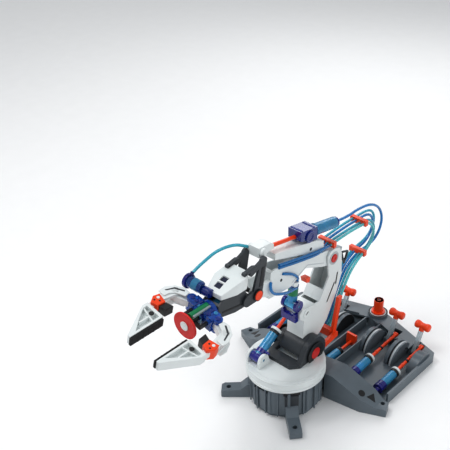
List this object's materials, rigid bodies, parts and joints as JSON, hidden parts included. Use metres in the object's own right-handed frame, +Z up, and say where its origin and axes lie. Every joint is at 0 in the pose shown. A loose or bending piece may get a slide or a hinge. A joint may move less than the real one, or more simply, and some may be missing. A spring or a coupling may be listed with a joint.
{
  "type": "hydraulic robot arm kit",
  "caption": "Toy hydraulic robot arm on a turntable with a lever console, clear cylinders, hoses and a two-finger gripper.",
  "frame": {"origin": "centre of the base drum on the ground", "axes": "+Z up, +Y back towards the lever console, the arm reaches along -Y, +X to the operator's right seen from the front"},
  "size_m": [0.284, 0.494, 0.288],
  "materials": {
    "grey_plastic": "moulded gunmetal grey, satin",
    "dark_plastic": "near-black moulded",
    "white_plastic": "moulded white, satin",
    "orange_plastic": "moulded orange-red",
    "blue_clear": "clear blue-tinted plastic",
    "clear_plastic": "clear plastic",
    "purple_clear": "clear purple-blue plastic",
    "hose_clear": "soft clear tinted tube",
    "black_rubber": "soft black",
    "red_rubber": "soft red",
    "steel": "plain pin"
  },
  "bodies": {
    "base": {"console_shell": "grey_plastic", "base_drum": "grey_plastic", "drum_legs": "grey_plastic", "turntable_bearing": "dark_plastic", "lever_pins": "steel", "master_barrels": "clear_plastic", "master_collars": "white_plastic", "master_caps": "purple_clear"},
    "turret": {"turntable": "white_plastic", "shoulder_fork": "grey_plastic", "shoulder_pin": "orange_plastic", "cylinder_bracket": "white_plastic", "hose_guide": "orange_plastic"},
    "shoulder_cylinder": {"shoulder_barrel": "blue_clear", "shoulder_collar": "white_plastic"},
    "shoulder_piston": {"shoulder_rod": "orange_plastic"},
    "upper_arm": {"arm_left_shell": "white_plastic", "arm_right_shell": "white_plastic", "shoulder_hub": "dark_plastic", "elbow_pin": "orange_plastic", "hose_bracket": "dark_plastic", "elbow_cylinder_mount": "dark_plastic", "hose_combs": "orange_plastic", "hose_1": "hose_clear", "hose_2": "hose_clear", "hose_3": "hose_clear", "hose_4": "hose_clear", "pitch_hose": "hose_clear"},
    "elbow_cylinder": {"elbow_barrel": "blue_clear"},
    "elbow_piston": {"elbow_rod": "orange_plastic"},
    "forearm": {"forearm_frame": "white_plastic", "forearm_beam": "white_plastic", "pitch_barrel": "blue_clear", "wrist_pin": "orange_plastic"},
    "pitch_piston": {"pitch_rod": "orange_plastic"},
    "hand": {"wrist_crank": "grey_plastic", "hand_trough": "grey_plastic", "hand_cover": "white_plastic", "roll_barrel": "blue_clear"},
    "gripper": {"gripper_frame": "blue_clear", "grip_barrel": "clear_plastic", "suction_cup": "red_rubber", "suction_stem": "dark_plastic", "jaw_pins": "steel"},
    "left_arm": {"left_jaw_arm": "white_plastic"},
    "right_arm": {"right_jaw_arm": "white_plastic"},
    "left_finger": {"left_finger": "white_plastic", "left_finger_pad": "black_rubber"},
    "right_finger": {"right_finger": "white_plastic", "right_finger_pad": "black_rubber"},
    "lever_1": {"lever_1": "clear_plastic"},
    "lever_2": {"lever_2": "clear_plastic"},
    "lever_3": {"lever_3": "clear_plastic"},
    "lever_4": {"lever_4": "clear_plastic"},
    "master_rod_1": {"master_rod_1": "orange_plastic"},
    "master_rod_2": {"master_rod_2": "orange_plastic"},
    "master_rod_3": {"master_rod_3": "orange_plastic"},
    "master_rod_4": {"master_rod_4": "orange_plastic"},
    "grip_slider": {"grip_slider": "orange_plastic"},
    "roll_knob": {"roll_knob": "orange_plastic"}
  },
  "joints": [
    {"name": "base_turn", "type": "hinge", "parent": "base", "child": "turret", "pos_m": [0, 0, 0.06], "axis": [0, 0, 1], "range_deg": [-90, 90]},
    {"name": "shoulder", "type": "hinge", "parent": "turret", "child": "upper_arm", "pos_m": [0, 0.028, 0.078], "axis": [1, 0, 0], "range_deg": [-20, 25], "deforming": ["hose_1", "hose_2", "hose_3", "hose_4", "pitch_hose"]},
    {"name": "shoulder_cylinder_swing", "type": "hinge", "parent": "turret", "child": "shoulder_cylinder", "pos_m": [-0.025, -0.034, 0.079], "axis": [1, 0, 0], "range_deg": [-7.07, 8.77]},
    {"name": "shoulder_piston_slide", "type": "slide", "parent": "shoulder_cylinder", "child": "shoulder_piston", "axis": [0, 0.8682, 0.4961], "range_m": [-0.0143, 0.01154]},
    {"name": "elbow", "type": "hinge", "parent": "upper_arm", "child": "forearm", "pos_m": [0, 0.084, 0.205], "axis": [1, 0, 0], "range_deg": [-19, 9.5]},
    {"name": "elbow_cylinder_swing", "type": "hinge", "parent": "upper_arm", "child": "elbow_cylinder", "pos_m": [0, 0.012, 0.16], "axis": [1, 0, 0], "range_deg": [-1.25, 0.64]},
    {"name": "elbow_piston_slide", "type": "slide", "parent": "elbow_cylinder", "child": "elbow_piston", "axis": [0, 0.0957, 0.9954], "range_m": [-0.01184, 0.02301]},
    {"name": "wrist_pitch", "type": "hinge", "parent": "forearm", "child": "hand", "pos_m": [0, -0.075, 0.23], "axis": [1, 0, 0], "range_deg": [-30, 50]},
    {"name": "pitch_piston_slide", "type": "slide", "parent": "forearm", "child": "pitch_piston", "axis": [0, -0.9827, 0.1851], "range_m": [-0.02482, 0.04053]},
    {"name": "wrist_roll", "type": "hinge", "parent": "hand", "child": "gripper", "pos_m": [0, -0.14, 0.237], "axis": [0, 1, 0], "range_deg": [-90, 90]},
    {"name": "left_jaw", "type": "hinge", "parent": "gripper", "child": "left_arm", "pos_m": [-0.0212, -0.152, 0.24288], "axis": [0.2672, 0, 0.9636], "range_deg": [-7, 29]},
    {"name": "right_jaw", "type": "hinge", "parent": "gripper", "child": "right_arm", "pos_m": [0.0212, -0.152, 0.23112], "axis": [0.2672, 0, 0.9636], "range_deg": [-29.5, 7.5]},
    {"name": "left_finger_pivot", "type": "hinge", "parent": "left_arm", "child": "left_finger", "pos_m": [-0.04529, -0.184, 0.24956], "axis": [0.2672, 0, 0.9636], "range_deg": [-29.5, 7.5]},
    {"name": "right_finger_pivot", "type": "hinge", "parent": "right_arm", "child": "right_finger", "pos_m": [0.04529, -0.184, 0.22444], "axis": [0.2672, 0, 0.9636], "range_deg": [-7.5, 29.5]},
    {"name": "lever_1_hinge", "type": "hinge", "parent": "base", "child": "lever_1", "pos_m": [-0.096, 0.197, 0.0076], "axis": [1, 0, 0], "range_deg": [-14.56, 14.56]},
    {"name": "master_rod_1_slide", "type": "slide", "parent": "base", "child": "master_rod_1", "axis": [0, 0.9983, 0.0586], "range_m": [-0.00281, 0.00281]},
    {"name": "lever_2_hinge", "type": "hinge", "parent": "base", "child": "lever_2", "pos_m": [-0.048, 0.197, 0.0076], "axis": [1, 0, 0], "range_deg": [-23.31, 18.81]},
    {"name": "master_rod_2_slide", "type": "slide", "parent": "base", "child": "master_rod_2", "axis": [0, 0.9983, 0.0586], "range_m": [-0.00363, 0.0045]},
    {"name": "lever_3_hinge", "type": "hinge", "parent": "base", "child": "lever_3", "pos_m": [0.048, 0.197, 0.0076], "axis": [1, 0, 0], "range_deg": [-13.09, 25.44]},
    {"name": "master_rod_3_slide", "type": "slide", "parent": "base", "child": "master_rod_3", "axis": [0, 0.9983, 0.0586], "range_m": [-0.00491, 0.00253]},
    {"name": "lever_4_hinge", "type": "hinge", "parent": "base", "child": "lever_4", "pos_m": [0.096, 0.197, 0.0076], "axis": [1, 0, 0], "range_deg": [-14.54, 23.74]},
    {"name": "master_rod_4_slide", "type": "slide", "parent": "base", "child": "master_rod_4", "axis": [0, 0.9983, 0.0586], "range_m": [-0.00458, 0.00281]},
    {"name": "grip_slider_slide", "type": "slide", "parent": "base", "child": "grip_slider", "axis": [0, 1, 0], "range_m": [-0.01867, 0.00485]},
    {"name": "roll_knob_turn", "type": "hinge", "parent": "base", "child": "roll_knob", "pos_m": [0.004, 0.228, 0.036], "axis": [0, 0, 1], "range_deg": [-92, 92]}
  ],
  "couplings": [
    {"joint": "shoulder_cylinder_swing", "follows": "shoulder", "ratio": 0.33846},
    {"joint": "shoulder_piston_slide", "follows": "shoulder", "m_per_rad": -0.031629},
    {"joint": "elbow_cylinder_swing", "follows": "elbow", "ratio": 0.063634},
    {"joint": "elbow_piston_slide", "follows": "elbow", "m_per_rad": -0.067362},
    {"joint": "pitch_piston_slide", "follows": "wrist_pitch", "m_per_rad": 0.045},
    {"joint": "right_jaw", "follows": "left_jaw", "ratio": -1},
    {"joint": "left_finger_pivot", "follows": "left_jaw", "ratio": -1},
    {"joint": "right_finger_pivot", "follows": "left_jaw", "ratio": 1},
    {"joint": "lever_1_hinge", "follows": "base_turn", "ratio": 0.15556},
    {"joint": "master_rod_1_slide", "follows": "base_turn", "m_per_rad": -0.001721},
    {"joint": "lever_2_hinge", "follows": "shoulder", "ratio": -0.9},
    {"joint": "master_rod_2_slide", "follows": "shoulder", "m_per_rad": 0.009957},
    {"joint": "lever_3_hinge", "follows": "elbow", "ratio": -1.3},
    {"joint": "master_rod_3_slide", "follows": "elbow", "m_per_rad": 0.014383},
    {"joint": "lever_4_hinge", "follows": "wrist_pitch", "ratio": 0.46},
    {"joint": "master_rod_4_slide", "follows": "wrist_pitch", "m_per_rad": -0.005089},
    {"joint": "grip_slider_slide", "follows": "left_jaw", "m_per_rad": -0.036},
    {"joint": "roll_knob_turn", "follows": "wrist_roll", "ratio": 1}
  ]
}
